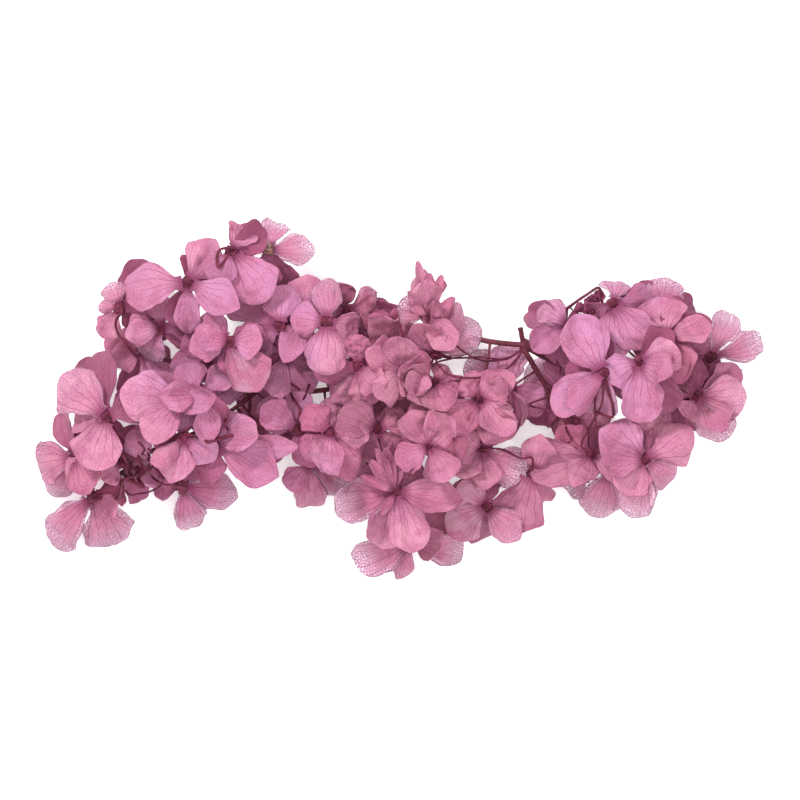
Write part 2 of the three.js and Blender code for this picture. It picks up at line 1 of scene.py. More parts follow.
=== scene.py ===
# The looks of a dried, dyed hydrangea spray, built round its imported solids. Metres, +Z up.
from math import atan2, cos, exp, floor, log, pi, sin, sqrt
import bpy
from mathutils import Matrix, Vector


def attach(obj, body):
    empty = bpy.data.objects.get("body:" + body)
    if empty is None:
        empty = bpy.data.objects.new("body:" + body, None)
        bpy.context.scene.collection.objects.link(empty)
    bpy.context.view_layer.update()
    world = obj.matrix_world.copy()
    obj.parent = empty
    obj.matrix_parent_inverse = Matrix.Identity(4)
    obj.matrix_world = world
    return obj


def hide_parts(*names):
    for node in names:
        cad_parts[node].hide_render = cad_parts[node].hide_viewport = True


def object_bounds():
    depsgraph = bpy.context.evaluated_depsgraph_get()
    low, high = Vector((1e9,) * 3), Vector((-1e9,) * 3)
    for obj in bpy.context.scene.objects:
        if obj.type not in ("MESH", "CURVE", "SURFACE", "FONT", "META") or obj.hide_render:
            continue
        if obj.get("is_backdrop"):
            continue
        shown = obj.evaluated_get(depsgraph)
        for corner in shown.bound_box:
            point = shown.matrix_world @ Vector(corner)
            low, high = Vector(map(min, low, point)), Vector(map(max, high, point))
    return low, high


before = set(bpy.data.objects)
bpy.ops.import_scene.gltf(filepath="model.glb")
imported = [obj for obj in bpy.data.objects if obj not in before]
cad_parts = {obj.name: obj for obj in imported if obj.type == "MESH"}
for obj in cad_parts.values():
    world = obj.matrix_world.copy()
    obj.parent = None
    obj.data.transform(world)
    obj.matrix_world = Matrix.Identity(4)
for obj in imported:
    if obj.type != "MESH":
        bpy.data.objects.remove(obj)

from types import SimpleNamespace

import bpy
import numpy as np
from mathutils import Vector, noise
from mathutils.kdtree import KDTree
from numpy.linalg import norm

MM = 0.001
scene = bpy.context.scene
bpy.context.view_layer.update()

# The solids' sizes and centring shift, in millimetres
BLADE = 0.6
HUB_HEIGHT = 2.7
STALK_GAP = 0.3
STALK_RADIUS = 0.45
STALK_SIDES = 4
SHIFT = (-0.225, -0.06)

# How far coordinates, and a hub's height, may be off in the solids
SAME = 0.004
HUB_ERROR = 0.01

# The photo: its size in pixels, millimetres a pixel, and the pixel at the middle before the shift
PHOTO_SIZE = 800
PIXEL = 0.3
PHOTO_X = 398.5
PHOTO_Y = 400

# A solid sepal's outline: where along it is broadest, and how blunt its ends are
PEAK = 0.547
BLUNT = 0.6

# A sepal's fine sheet: faces along and across, thickness and least height in millimetres
ALONG = 26
ACROSS = 18
SHEET = 0.2
LOWEST = 0.25

# Its outline: how much broader than the solid's, how broad by its root, how angular and how ragged
WIDER = 1.05
NARROWEST = 0.4
CORNERS = 0.09
RAGGED = 0.08

# Its fold against the solid's: folded over, which starts at a half width in millimetres, or thin, and its
# greatest depth in half widths, which holds for all but slim ones. Then its pleats
FOLDED_OVER = 2.3
FOLDS_FROM = 4
FLATTER = 0.45
DEEPEST = 0.8
SLIM = 2
PLEATS = 0.035

# How much of its sides' lean towards its tip goes, and where its middle lies between two rows
STRAIGHTENED = 0.8
MIDWAY = 0.7

# Texture coordinates: units a millimetre, units round a stem, and a pattern's greatest shift
REAL_UNIT = 0.01
ROUND_UNIT = 0.03
PATTERN_SHIFT = 40

# Small sepals in the hollows: fineness, tries and most at a floret, share covered and clear, and how clear
INNER_FINE = 0.6
TRIES = 9
MOST = 4
COVERED = 0.93
ASIDE = 0.85

# The grid of what the spray covers: its cells, and in cells its size, middle, closed gaps and open spots
CELL = 1.0
GRID = (280, 180)
GRID_MIDDLE = (140, 90)
CLOSE = 3
OPENING = 2

# Steps along a triangle's side, for the grid and for the room round a sepal
COVER_STEPS = 9
ROOM_STEPS = 6

# Places along a sepal where others are looked for, this far above it
SHADE_SPOTS = (0.3, 0.45, 0.6, 0.75, 0.9)
ABOVE = 2

# Lacy sepals at the outline: the cells looked at, the most that is covered, how lacy, and the most hidden
EDGE = 6
EDGE_COVER = 0.55
EDGE_LACE = 0.45
EDGE_HIDDEN = 0.3

# A sepal in its solid: its rows of points along it, and the triangles between them. Points 0 and 1 are its
# claw, 2 to 4 and 5 to 7 go from left to right, 8 and 9 are its shoulders, and 10 is its tip
ROW_SHARES = (0, 0.24, 0.56, 0.86, 1)
BLADE_POINTS = 11
BLADE_TRIANGLES = (
    (0, 2, 1), (1, 2, 3), (1, 3, 4), (2, 5, 3), (3, 5, 6), (3, 6, 4),
    (4, 6, 7), (5, 8, 6), (6, 8, 9), (6, 9, 7), (8, 10, 9),
)

# Stems: thickness, then the points that each one runs through, in millimetres
STEMS = (
    (3.2, (
        (37, 17, 19), (42.5, 14.5, 18), (48.5, 11.5, 16), (60.5, 11.5, 15), (74, 8.5, 15), (87.5, 4.5, 14),
    )),
    (1.5, ((36.5, 21.5, 21.5), (37.5, 16.7, 19.2))),
    (1.6, (
        (38, 16.5, 19.5), (32, 17, 20), (27.5, 17.5, 20), (21, 18.5, 19), (9.5, 15, 17), (0.5, 9.5, 16),
    )),
    (1.6, (
        (0.5, 9.5, 16), (-14.5, 4.5, 15), (-29.5, 2.5, 15), (-40, 4.5, 16), (-53.5, 7.5, 16),
        (-78, 14.5, 13),
    )),
    (1.3, ((-40, 4.5, 16), (-50, -3, 16), (-59.5, -9, 16), (-74.5, -15.5, 14), (-86, -24, 13))),
    (1.3, ((-34, 3.5, 15.5), (-36, 12, 16), (-37, 21, 17), (-41, 34, 16))),
    (1.3, ((-53.5, 7.5, 16), (-58, 15, 17), (-61, 23, 17), (-66, 32, 16))),
    (1.3, ((0.5, 9.5, 16), (1.5, 0, 17), (0.5, -9, 16), (-0.5, -24, 14), (3, -36, 11))),
    (1.3, ((0.5, -9, 16), (12, -13, 16), (24.5, -18, 14), (38, -21, 12))),
    (1.6, (
        (37, 16.5, 19.5), (41, 9.5, 18), (44, 4.5, 17), (46, 0, 16), (53, -9, 15), (63.5, -15, 16),
        (74, -17.5, 15),
    )),
    (1.3, ((60.5, 11.5, 15), (66, 17, 16), (72, 21.5, 16), (79, 24, 14))),
    (0.9, ((66, 17, 16), (62, 22, 24), (61, 29, 27), (60, 33.5, 28), (57, 32, 28), (50.5, 27.5, 25))),
)

# Their fine form: pieces a point, sides, unevenness, and how they swell at their ends, over some pieces
STEM_PIECES = 12
STEM_SIDES = 14
STEM_ROUGH = 0.16
STEM_UNEVEN = 0.08
JOINT_SWELL = 0.16
JOINT_REACH = 2.5

# Stalks in the solid: how many radii their first ring is from their end, and their most rings
RING_REACH = 1.3
MOST_RINGS = 4

# Their fine form: the radius, and what is added at the hub and the foot, over some pieces
STALK_PIECES = 22
STALK_ROUND = 8
STALK_ROUGH = 0.2
STALK_MIDDLE = 0.34
STALK_AT_HUB = 0.22
STALK_AT_FOOT = 0.16
HUB_REACH = 3
FOOT_REACH = 2

# Thin stalks that show between the sepals: radius in millimetres, and pixels of the photo on the way
PEDICELS = (
    (0.3, ((450, 340), (460, 349), (474, 358), (492, 361), (509, 358), (521, 350))),
    (0.3, ((434, 355), (450, 358), (464, 358), (480, 357), (498, 359), (510, 357), (521, 350))),
    (0.3, ((432, 364), (441, 361), (452, 358))),
    (0.3, ((438, 365), (450, 375), (470, 378), (488, 376), (504, 370), (515, 361), (522, 352))),
    (0.4, ((122, 312), (116, 320), (117, 332), (125, 342), (136, 356))),
    (0.4, ((236, 249), (222, 250), (218, 258), (220, 268))),
    (0.55, (
        (240, 433), (216, 440), (209, 442), (196, 436), (182, 434), (164, 449), (151, 464), (140, 473),
    )),
    (0.55, ((140, 473), (124, 480), (118, 497), (109, 502), (101, 498), (94, 500))),
    (0.35, ((182, 487), (164, 484), (153, 478), (147, 469), (138, 460), (124, 453), (118, 447))),
    (0.3, ((129, 495), (138, 494), (149, 492), (162, 484), (158, 473))),
    (0.3, ((142, 455), (145, 448), (138, 442))),
    (0.3, ((147, 447), (156, 458), (151, 464))),
    (0.3, ((164, 433), (168, 440), (160, 450), (150, 452))),
    (0.35, ((475, 450), (500, 449), (520, 458), (532, 458))),
    (0.3, ((552, 425), (560, 441), (571, 441), (566, 428))),
    (0.3, ((601, 402), (590, 425), (581, 447), (593, 451))),
    (0.35, ((594, 400), (595, 425), (594, 456))),
    (0.4, ((583, 408), (596, 412), (612, 416))),
    (0.3, ((545, 385), (549, 388), (553, 391))),
    (0.3, ((557, 362), (559, 367), (560, 373))),
    (0.3, ((286, 356), (279, 348), (272, 342))),
    (0.35, ((286, 356), (288, 372), (286, 380), (298, 388))),
    (0.3, ((256, 392), (267, 400), (275, 403))),
    (0.35, ((228, 412), (226, 424), (228, 432))),
    (0.3, ((310, 384), (306, 394), (302, 402))),
    (0.45, ((118, 449), (124, 456), (129, 464), (138, 471))),
    (0.6, ((129, 480), (136, 484), (143, 487))),
    (0.4, ((138, 456), (142, 467), (140, 478))),
    (0.4, ((148, 452), (151, 462), (144, 474))),
    (0.4, ((157, 460), (149, 471), (141, 474))),
    (0.35, ((133, 459), (130, 470), (134, 480))),
    (0.45, ((243, 388), (250, 402), (246, 420))),
    (0.4, ((286, 380), (292, 396), (300, 410))),
    (0.3, ((530, 404), (546, 410), (562, 416), (580, 420))),
    (0.3, ((648, 342), (656, 352), (664, 368))),
    (0.3, ((672, 384), (684, 392), (696, 398))),
)

# How far they may climb over sepals, the share of it at their ends, how much a drop there counts, and how
# far round a pixel the sepals are looked at
CLIMB = 14
END_CLIMB = 0.4
DROP_COST = 0.25
LOOK_ROUND = 2.5
PEDICEL_PIECES = 36
PEDICEL_ROUND = 7
PEDICEL_ROUGH = 0.25
PEDICEL_SWELL = 0.5

# Tufts of wilted, folded sepals: the root's pixel in the photo, then each one's tip, half width and redness
TUFTS = (
    ((428, 319), (
        ((419, 270), 1.5, 0.3), ((429, 278), 1.6, 0.3), ((440, 281), 1.4, 0.4), ((452, 301), 1.2, 0.4),
        ((412, 303), 1.5, 0.4),
    )),
    ((435, 353), (
        ((426, 304), 1.5, 0.4), ((437, 299), 1.6, 0.4), ((449, 309), 1.7, 0.3), ((418, 330), 1.4, 0.4),
        ((400, 322), 1.6, 0.4),
    )),
    ((394, 490), (
        ((378, 450), 1.3, 0.5), ((385, 444), 1.4, 0.5), ((393, 441), 1.3, 0.5), ((402, 446), 1.4, 0.5),
        ((371, 462), 1.3, 0.5), ((410, 456), 1.2, 0.5), ((365, 478), 1.2, 0.5), ((383, 512), 1.1, 0.5),
    )),
)
WILTED_FOLD = 1.3

# Dried buds by the upper twig: pixels of the photo, with the height in millimetres
BUDS = ((597, 305, 27), (592, 312, 26), (600, 317, 25.5), (586, 314, 26), (580, 320, 25))
BUD_RADIUS = 0.9
BUD_SEPALS = 4
BUD_STALK = 0.3
BUD_PIECES = 6
BUD_ROUND = 6

# A floret's heart: radii of its calyx, disc and eye, and its stamens, in millimetres
CALYX = 2.0
DISC = 1.1
EYE = 0.6
STAMENS = 7
STAMEN_RADII = (0.14, 0.11, 0.09)
STAMEN_SIDES = 5
ANTHER = 0.17

# Pixels of the photo where the white ground shows between sepals
OPEN_SPOTS = (
    (168, 375), (232, 410), (299, 453), (350, 393), (408, 347), (445, 357), (445, 367), (466, 367),
    (395, 438), (603, 418), (530, 450), (530, 458), (530, 466), (525, 365), (530, 344), (535, 355),
    (510, 355), (500, 350), (480, 350), (600, 300), (610, 310), (585, 300),
)

# The root that shows cream, a pixel of the photo, and how light it is
CREAM_SPOT = (265, 243)
CREAM_LIGHT = 0.8

# Places in the photo, in its pixels, whose sepals are thin and net-like, deep red, crumpled, or greyed
NET_SPOTS = (
    (112, 283), (53, 488), (60, 515), (108, 528), (190, 508), (218, 492), (283, 238), (294, 265),
    (405, 303), (466, 324), (545, 368), (620, 290), (664, 288), (722, 322), (596, 498), (578, 472),
    (348, 505), (378, 552), (506, 464), (330, 492), (735, 350), (136, 350), (478, 357), (720, 422),
    (648, 495), (442, 548), (616, 488),
)
RED_SPOTS = (
    (345, 458), (400, 365), (428, 372), (148, 330), (107, 487), (382, 350), (420, 325), (425, 400),
    (372, 400), (388, 490), (300, 335), (500, 420), (320, 415), (315, 460), (570, 440), (240, 370),
    (410, 440), (660, 360),
)
CRUMPLED_SPOTS = ((385, 325), (405, 375), (430, 430), (480, 425), (430, 270))
GREY_SPOTS = ((607, 394), (476, 495), (470, 520), (282, 405), (240, 375), (480, 533))

# How far they reach, and how much nearer a sepal counts for each millimetre of its height
NET_REACH = 7
RED_REACH = 8
CRUMPLED_REACH = 20
HUB_CRUMPLED_REACH = 22
UPPER_FIRST = 0.06

# Redness of marked sepals, the deeper red painted as shade on low ones below a height, the redness of the
# reddest, and the painted shade of sepals that others cover
RED = 0.45
LOW_BELOW = 24
LOW_PAINTED_SHADE = 0.4
REDDEST = 0.95
PAINTED_SHADE_WHEN_COVERED = 0.6

# A floret's materials, by slot
SEPAL_SLOT = 0
HEART_SLOT = 1
LACE_SLOT = 2

TINY = 1e-9


def draw(seed):
    """A repeatable number from 0 to 1."""
    value = sin(seed * 12.9898 + 4.1) * 43758.5453
    return value - floor(value)


def between(low, high, seed):
    """A repeatable number between two others."""
    return low + (high - low) * draw(seed)


def photo_point(x, y):
    """A pixel of the photo as a point in the plan, in millimetres."""
    return np.array(((x - PHOTO_X) * PIXEL + SHIFT[0], (PHOTO_Y - y) * PIXEL + SHIFT[1]))


def near_any(point, spots, reach):
    """How near a point in the plan lies to the nearest of some pixels, from 0 to 1."""
    gaps = [norm(photo_point(*spot) - point[:2]) for spot in spots]
    return max(0.0, 1 - min(gaps) / reach)


def points_and_faces(node):
    """A node's points in millimetres, with those that coincide made one, and its triangles."""
    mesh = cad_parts[node].data
    mesh.calc_loop_triangles()
    flat = np.empty(len(mesh.vertices) * 3)
    mesh.vertices.foreach_get("co", flat)
    every = np.round(flat.reshape(-1, 3) / MM, 3)
    points, number = np.unique(every, axis=0, return_inverse=True)
    number = number.reshape(-1)
    faces = [tuple(int(number[i]) for i in triangle.vertices) for triangle in mesh.loop_triangles]
    return points, [face for face in faces if len(set(face)) == 3]


def poles_of(points):
    """The lower and the upper middle point of a floret's hub: one straight above the other."""
    order = np.lexsort((points[:, 1], points[:, 0]))
    for i, low in enumerate(order):
        for high in order[i + 1:]:
            step = points[high] - points[low]
            if abs(step[0]) > SAME:
                break
            if abs(step[1]) < SAME and abs(abs(step[2]) - HUB_HEIGHT) < HUB_ERROR:
                return (low, high) if step[2] > 0 else (high, low)
    raise ValueError("a floret has no hub")


def sepals_in(points, faces):
    """The upper points of each sepal in a floret's mesh, found from how its triangles are joined."""
    across = {}
    for a, b, c in faces:
        across[(a, b)], across[(b, c)], across[(c, a)] = c, a, b
    low, high = poles_of(points)
    roots = {a for face in faces if low in face or high in face for a in face}
    sepals = []
    for (a, b), c in list(across.items()):
        if c != high or across.get((b, a)) in roots:
            continue
        found = {0: a, 1: b}
        for triangle in BLADE_TRIANGLES:
            for k in range(3):
                p, q, r = triangle[k], triangle[(k + 1) % 3], triangle[(k + 2) % 3]
                if p in found and q in found and r not in found:
                    found[r] = across.get((found[p], found[q]))
        if all(found.get(i) is not None for i in range(BLADE_POINTS)):
            sepals.append(np.array([points[found[i]] for i in range(BLADE_POINTS)]))
    return points[low], points[high], sepals


def lifted(point, height):
    """A point moved up, or down where the height is negative."""
    return point + np.array((0, 0, height))


def unit(vector):
    """A vector of the same direction and length one."""
    return vector / max(norm(vector), TINY)


def outline_share(t, peak=PEAK, root_blunt=BLUNT, tip_blunt=BLUNT):
    """The share of its half width that a sepal has at a share of its length."""
    if not 0 < t < 1:
        return 0.0
    u = t ** (log(0.5) / log(peak))
    return sin(pi * u) ** (root_blunt + (tip_blunt - root_blunt) * u)


def spline(knots, values, t):
    """A smooth curve through values at knots."""
    i = max(0, min(len(knots) - 2, int(np.searchsorted(knots, t, side="right")) - 1))
    a, b = knots[i], knots[i + 1]
    before = values[i - 1] if i else values[0] - (values[1] - values[0])
    before_at = knots[i - 1] if i else a - (b - a)
    after = values[i + 2] if i + 2 < len(knots) else values[-1] + (values[-1] - values[-2])
    after_at = knots[i + 2] if i + 2 < len(knots) else b + (b - a)
    leave = (values[i + 1] - before) / (b - before_at) * (b - a)
    arrive = (after - values[i]) / (after_at - a) * (b - a)
    u = (t - a) / (b - a)
    return ((2 * u ** 3 - 3 * u ** 2 + 1) * values[i] + (u ** 3 - 2 * u ** 2 + u) * leave
            + (3 * u ** 2 - 2 * u ** 3) * values[i + 1] + (u ** 3 - u ** 2) * arrive)


def sepal_form(corners):
    """A sepal's spine, half width and fold, read from the points of its solid."""
    normals = np.zeros((BLADE_POINTS, 3))
    for a, b, c in BLADE_TRIANGLES:
        normal = np.cross(corners[b] - corners[a], corners[c] - corners[a])
        for corner in (a, b, c):
            normals[corner] += normal
    sheet = np.array([corner - unit(normal) * BLADE / 2 for corner, normal in zip(corners, normals)])
    left = (sheet[2], sheet[5], sheet[8])
    right = (sheet[4], sheet[7], sheet[9])
    shares = [outline_share(t) for t in ROW_SHARES[1:4]]
    halves = [(r - l) / 2 / share for l, r, share in zip(left, right, shares)]
    folds = [((left[i] + right[i]) / 2 - sheet[(3, 6)[i]]) / shares[i] for i in range(2)]
    folds.append(folds[1])
    shoulder = (left[2] + right[2]) / 2 - folds[2] * shares[2]
    spine = np.array([(sheet[0] + sheet[1]) / 2, sheet[3], sheet[6], shoulder, sheet[10]])
    root_half = unit(sheet[1] - sheet[0]) * norm(halves[0])
    halves = np.array([root_half, *halves, halves[2]])
    folds = np.array([folds[0], folds[0], folds[1], folds[2], folds[2]])

    # The sides don't run ahead of the tip
    axis = unit(spine[-1] - spine[0])
    halves[1:] -= STRAIGHTENED * np.outer(halves[1:] @ axis, axis)
    folds -= np.outer(folds @ axis, axis)
    return SimpleNamespace(
        spine=spine,
        halves=halves,
        folds=folds,
        claw=norm(sheet[1] - sheet[0]) / 2,
        length=norm(sheet[10] - (sheet[0] + sheet[1]) / 2),
        middle=sheet[3] * (1 - MIDWAY) + sheet[6] * MIDWAY,
        half=norm(halves[2]),
    )


def sepal_draws(form, seed, crumple, thin):
    """What one sepal's seed draws for it: its outline, fold, creases, waves and curl."""
    width = form.half
    folded = FLATTER if thin else 1.0
    if not thin and width > FOLDS_FROM and draw(seed + 0.27) < 0.25 + 0.4 * crumple:
        folded = FOLDED_OVER
    if width > SLIM:
        folded = min(folded, DEEPEST * width / max(norm(form.folds[2]), TINY))
    creases = []
    for k in range(3 + round(4 * crumple)):
        turn = 2 * pi * draw(seed + k + 0.43)
        steep = (0.15 if thin else 0.4 + 0.5 * crumple) * (2 * draw(seed + k + 0.53) - 1)
        creases.append((cos(turn), sin(turn), between(0.2, 0.65, seed + k + 0.47), steep))
    return SimpleNamespace(
        seed=seed,
        root_blunt=between(0.5, 0.8, seed + 0.13),
        tip_blunt=between(0.38, 0.48 if thin or width < SLIM else 0.88, seed + 0.15),
        sides=[SimpleNamespace(
            peak=between(0.5, 0.62, seed + k + 0.11),
            width=WIDER * between(0.93, 1.07, seed + k + 0.17) * (1 + max(0, 0.25 - width / 24)),
            corner=between(1.1, 2.4, seed + k + 0.19),
            phase=draw(seed + k + 0.29),
        ) for k in (0, 1)],
        folded=folded,
        valley=between(1.0, 1.6, seed + 0.23),
        creases=creases,
        wave_count=2 + int(3 * draw(seed + 0.31)),
        wave=between(0.05, 0.14, seed + 0.37) + 0.12 * crumple,
        swell=0.1 + 0.25 * crumple,
        ridges=0.07 + 0.28 * crumple,
        curl=between(-0.3, 0.45, seed + 0.41),
        offset=Vector((seed * 3.7, seed * 1.9, seed * 0.7)),
    )


def lift_of(form, own, t, v, share, reach):
    """How far creases, waves, pleats and curl lift a place on a sepal, in half widths."""
    lift = 0.0
    for way_x, way_y, gap, steep in own.creases:
        beyond = reach * way_x + (t - 0.55) * form.length / form.half * way_y - gap
        lift += steep * (beyond + sqrt(beyond ** 2 + 0.0015)) / 2
    edge = abs(v) ** 3
    beat = own.wave_count * pi * t + (2 if v > 0 else 0) + own.seed
    lift += own.wave * edge * share * sin(beat)
    lift += own.swell * share * noise.noise(own.offset + Vector((t * 3.1, v * 1.7, 0)))
    ridge = abs(noise.noise(own.offset + Vector((t * 4.5, v * 2.6, 3))))
    lift += own.ridges * share * (0.5 - 2 * ridge)
    lift += PLEATS * share * sin(5.5 * reach / (t + 0.2) + own.seed)
    lift -= own.curl * (edge * share + max(0, t - 0.75) ** 2 * 5)
    return lift


def sepal_mesh(form, seed, crumple, fine=1.0, thin=False):
    """A sepal's sheet in rows from root to tip: points with their shares across and along it."""
    along, across = round(ALONG * fine), 2 * round(ACROSS * fine / 2)
    width = form.half
    own = sepal_draws(form, seed, crumple, thin)
    spine_at = [spline(ROW_SHARES, form.spine, t) for t in (0.5, 0.55)]
    facing = 1 if np.cross(spine_at[1] - spine_at[0], form.halves[2])[2] > 0 else -1
    rows = []
    for i in range(along + 1):
        t = (1 - cos(pi * i / along)) / 2
        spine, half, fold = (spline(ROW_SHARES, each, t) for each in (form.spine, form.halves, form.folds))
        before, after = (spline(ROW_SHARES, form.spine, at) for at in (t - 0.02, min(1, t + 0.02)))
        up = unit(np.cross(unit(after - before), unit(half))) * facing
        root = max(form.claw / width * (1 - t), NARROWEST * (1 - t) ** 2)
        row = []
        for j in range(across + 1):
            v = sin(pi * (j / across - 0.5))
            side = own.sides[0] if v < 0 else own.sides[1]
            share = outline_share(t, side.peak, own.root_blunt, own.tip_blunt)
            beat = t * side.corner + side.phase
            angular = 1 + CORNERS * (1 - 4 * abs(beat - floor(beat) - 0.5))
            ragged = 1 + RAGGED * noise.noise(own.offset + Vector((t * 7, v * 1.5, 7)))
            reach = max(share * side.width * angular * ragged, root) * v
            point = spine + half * reach + fold * (own.folded * share * abs(v) ** own.valley)
            point = point + up * (width * lift_of(form, own, t, v, share, reach) * min(1, t * 3))
            point[2] = max(point[2], LOWEST)
            row.append((point, (v + 1) / 2, t, reach * width))
        rows.append(row)
    return rows


class Builder:
    """Points, faces and what each holds, gathered for one mesh."""

    def __init__(self):
        self.points, self.faces, self.slots = [], [], []
        self.leaf, self.real, self.fan, self.tint = [], [], [], []

    def add(self, point, leaf=(0, 0), real=(0, 0), fan=(0, 0), tint=(0, 0, 0)):
        self.points.append(tuple(float(x) * MM for x in point))
        self.leaf.append(leaf)
        self.real.append(real)
        self.fan.append(fan)
        self.tint.append((*tint, 1))
        return len(self.points) - 1

    def face(self, corners, slot):
        self.faces.append(corners)
        self.slots.append(slot)

    def sheet(self, rows, seed, form, tint, slot=SEPAL_SLOT):
        """A thin closed sheet of two sides and a rim from rows of points."""
        grid = np.array([[cell[0] for cell in row] for row in rows])
        ahead = np.gradient(grid, axis=0)
        aside = np.gradient(grid, axis=1)
        normals = np.cross(ahead, aside)
        normals /= np.maximum(norm(normals, axis=2, keepdims=True), TINY)
        spot_x, spot_y = PATTERN_SHIFT * draw(seed), PATTERN_SHIFT * draw(seed + 1)
        sides = []
        for way in (-1, 1):
            numbers = []
            for i, row in enumerate(rows):
                numbers.append([])
                for j, (point, v, t, x) in enumerate(row):
                    place = point + normals[i][j] * way * SHEET / 2
                    place[2] = max(place[2], 0.0)
                    real = ((x + spot_x) * REAL_UNIT, (t * form.length + spot_y) * REAL_UNIT)
                    fan = (0.5 + x / form.half / 2, t)
                    numbers[-1].append(self.add(place, (v, t), real, fan, tint))
            sides.append(numbers)
        lower, upper = sides
        for i in range(len(rows) - 1):
            for j in range(len(rows[0]) - 1):
                self.face((upper[i][j], upper[i][j + 1], upper[i + 1][j + 1], upper[i + 1][j]), slot)
                self.face((lower[i][j], lower[i + 1][j], lower[i + 1][j + 1], lower[i][j + 1]), slot)
        last = len(rows[0]) - 1
        for i in range(len(rows) - 1):
            self.face((upper[i][0], upper[i + 1][0], lower[i + 1][0], lower[i][0]), slot)
            self.face((upper[i + 1][last], upper[i][last], lower[i][last], lower[i + 1][last]), slot)
        for j in range(last):
            self.face((upper[0][j + 1], upper[0][j], lower[0][j], lower[0][j + 1]), slot)
            self.face((upper[-1][j], upper[-1][j + 1], lower[-1][j + 1], lower[-1][j]), slot)

    def tube(self, route, radii, sides, slot, seed=0, rough=0.0):
        """A closed round tube along points, with its own thickness at each."""
        route = np.array(route, float)
        ways = np.gradient(route, axis=0)
        side = np.cross(unit(ways[0]), (0.2, 0.4, 1.0))
        rings = []
        run = 0.0
        for i, centre in enumerate(route):
            along = unit(ways[i])
            side = unit(side - along * np.dot(side, along))
            other = np.cross(along, side)
            run += norm(route[i] - route[i - 1]) if i else 0
            ring = []
            for k in range(sides):
                angle = 2 * pi * k / sides
                bump = 1 + rough * noise.noise(Vector((seed + k * 1.7, run * 0.35, seed)))
                place = centre + (side * cos(angle) + other * sin(angle)) * radii[i] * bump
                place[2] = max(place[2], 0.0)
                real = (k / sides * ROUND_UNIT, run * REAL_UNIT)
                ring.append(self.add(place, (k / sides, i / len(route)), real))
            rings.append(ring)
        for i in range(len(rings) - 1):
            for k in range(sides):
                n = (k + 1) % sides
                self.face((rings[i][k], rings[i][n], rings[i + 1][n], rings[i + 1][k]), slot)
        self.face(tuple(reversed(rings[0])), slot)
        self.face(tuple(rings[-1]), slot)

    def ball(self, centre, radius, slot, squeeze=1.0, seed=0, rough=0.2, tint=(0, 0, 0)):
        """A small lumpy round body."""
        rings, sides = 6, 9
        top = self.add(lifted(centre, radius * squeeze), tint=tint)
        bottom = self.add(lifted(centre, -radius * squeeze), tint=tint)
        loops = []
        for i in range(1, rings):
            polar = pi * i / rings
            loop = []
            for k in range(sides):
                angle = 2 * pi * k / sides
                way = np.array((sin(polar) * cos(angle), sin(polar) * sin(angle),
                                cos(polar) * squeeze))
                bump = 1 + rough * noise.noise(Vector((*(way * 3),)) + Vector((seed, seed, seed)))
                loop.append(self.add(centre + way * radius * bump, tint=tint))
            loops.append(loop)
        for k in range(sides):
            n = (k + 1) % sides
            self.face((top, loops[0][k], loops[0][n]), slot)
            self.face((bottom, loops[-1][n], loops[-1][k]), slot)
            for i in range(len(loops) - 1):
                self.face((loops[i][k], loops[i + 1][k], loops[i + 1][n], loops[i][n]), slot)

    def object(self, name, materials):
        """A mesh object of all that was gathered, named and linked to the scene."""
        mesh = bpy.data.meshes.new(name)
        mesh.from_pydata(self.points, [], self.faces)
        mesh.polygons.foreach_set("material_index", self.slots)
        mesh.polygons.foreach_set("use_smooth", [True] * len(self.faces))
        for layer_name, values in (("leaf", self.leaf), ("real", self.real), ("fan", self.fan)):
            layer = mesh.uv_layers.new(name=layer_name)
            corners = [values[loop.vertex_index] for loop in mesh.loops]
            layer.data.foreach_set("uv", [x for pair in corners for x in pair])
        tint = mesh.color_attributes.new(name="tint", type="FLOAT_COLOR", domain="POINT")
        tint.data.foreach_set("color", [x for colour in self.tint for x in colour])
        for material in materials:
            mesh.materials.append(material)
        mesh.update()
        piece = bpy.data.objects.new(name, mesh)
        scene.collection.objects.link(piece)
        return piece


# Materials, whose colours are linear
LILAC = (0.69, 0.32, 0.545, 1)
PINK = (0.77, 0.36, 0.485, 1)
DULL_MAUVE = (0.62, 0.23, 0.38, 1)
DEEP_RED = (0.5, 0.12, 0.225, 1)
GREYED = (0.55, 0.35, 0.44, 1)
MAROON = (0.2, 0.025, 0.085, 1)
PALE = (0.88, 0.6, 0.76, 1)
NET_VEIN = (0.13, 0.015, 0.075, 1)
CREAM = (0.8, 0.68, 0.45, 1)
RIB_DARK = (0.025, 0.003, 0.006, 1)
CLEAR_TINT = (1, 0.93, 0.97, 1)

# Veins: how fast the main ones fan out, how many branches, how slanting, and the nets' cells a unit
FAN = 2.3
BRANCHES = 8.0
BRANCH_SLANT = 4.0
NET_CELLS = 88.0
THIN_NET_CELLS = 115.0
FINE_NET_CELLS = 150.0


